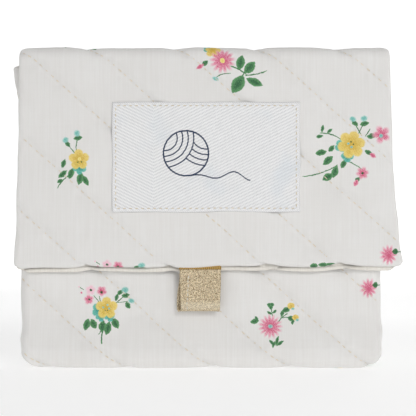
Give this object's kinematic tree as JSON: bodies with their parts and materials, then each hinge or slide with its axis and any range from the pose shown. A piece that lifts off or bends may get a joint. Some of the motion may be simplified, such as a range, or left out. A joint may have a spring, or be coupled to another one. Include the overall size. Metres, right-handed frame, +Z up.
{
  "type": "quilted envelope pouch",
  "caption": "Quilted floral cotton pouch for knitting things, with a fold-over flap, woven label, gold leather pull tab and a hidden magnetic snap.",
  "frame": {"origin": "on the surface that the pouch stands on, under the middle of its box", "axes": "+X along the width to the right as seen from the front, -Y out of the front, +Z up"},
  "size_m": [0.158, 0.022, 0.1299],
  "materials": {
    "printed_cotton": "fine plain weave, printed with small flower sprays, quilted",
    "wadding": "soft white wadding",
    "lining_cotton": "plain ecru weave",
    "quilting_thread": "cream cotton thread",
    "label_weave": "white twill tape with a navy drawing",
    "label_thread": "beige thread",
    "gold_leather": "crackled gold foil on leather",
    "tab_thread": "white thread",
    "snap_metal": "nickel plated",
    "magnet": "dark ferrite"
  },
  "bodies": {
    "pouch": {"front_panel_cloth": "printed_cotton", "front_panel_wadding": "wadding", "front_panel_lining": "lining_cotton", "bottom_fold_cloth": "printed_cotton", "bottom_fold_wadding": "wadding", "bottom_fold_lining": "lining_cotton", "back_panel_cloth": "printed_cotton", "back_panel_wadding": "wadding", "back_panel_lining": "lining_cotton", "left_side_seam": "printed_cotton", "right_side_seam": "printed_cotton", "front_quilting_thread": "quilting_thread", "back_quilting_thread": "quilting_thread", "snap_socket_case": "snap_metal", "snap_socket_magnet": "magnet", "snap_socket_base": "snap_metal", "snap_socket_washer": "snap_metal"},
    "top_fold": {"top_fold_cloth": "printed_cotton", "top_fold_wadding": "wadding", "top_fold_lining": "lining_cotton", "top_fold_quilting_thread": "quilting_thread"},
    "flap": {"flap_cloth": "printed_cotton", "flap_wadding": "wadding", "flap_lining": "lining_cotton", "flap_quilting_thread": "quilting_thread", "label": "label_weave", "label_stitching": "label_thread", "snap_stud": "snap_metal", "snap_stud_washer": "snap_metal", "pull_tab_sewn_ends": "gold_leather"},
    "pull_tab": {"pull_tab_loop": "gold_leather", "pull_tab_stitching": "tab_thread"}
  },
  "joints": [
    {"name": "flap_hinge", "type": "hinge", "parent": "top_fold", "child": "flap", "pos_m": [0, -0.01013, 0.1296], "axis": [-1, 0, 0], "range_deg": [0, 90]},
    {"name": "top_fold_hinge", "type": "hinge", "parent": "pouch", "child": "top_fold", "pos_m": [0, 0.01068, 0.1296], "axis": [-1, 0, 0], "range_deg": [0, 90]},
    {"name": "pull_tab_hinge", "type": "hinge", "parent": "flap", "child": "pull_tab", "pos_m": [-0.0032, -0.00873, 0.0397], "axis": [-1, 0, 0], "range_deg": [0, 90]}
  ],
  "couplings": [
    {"joint": "top_fold_hinge", "follows": "flap_hinge", "ratio": 1}
  ]
}
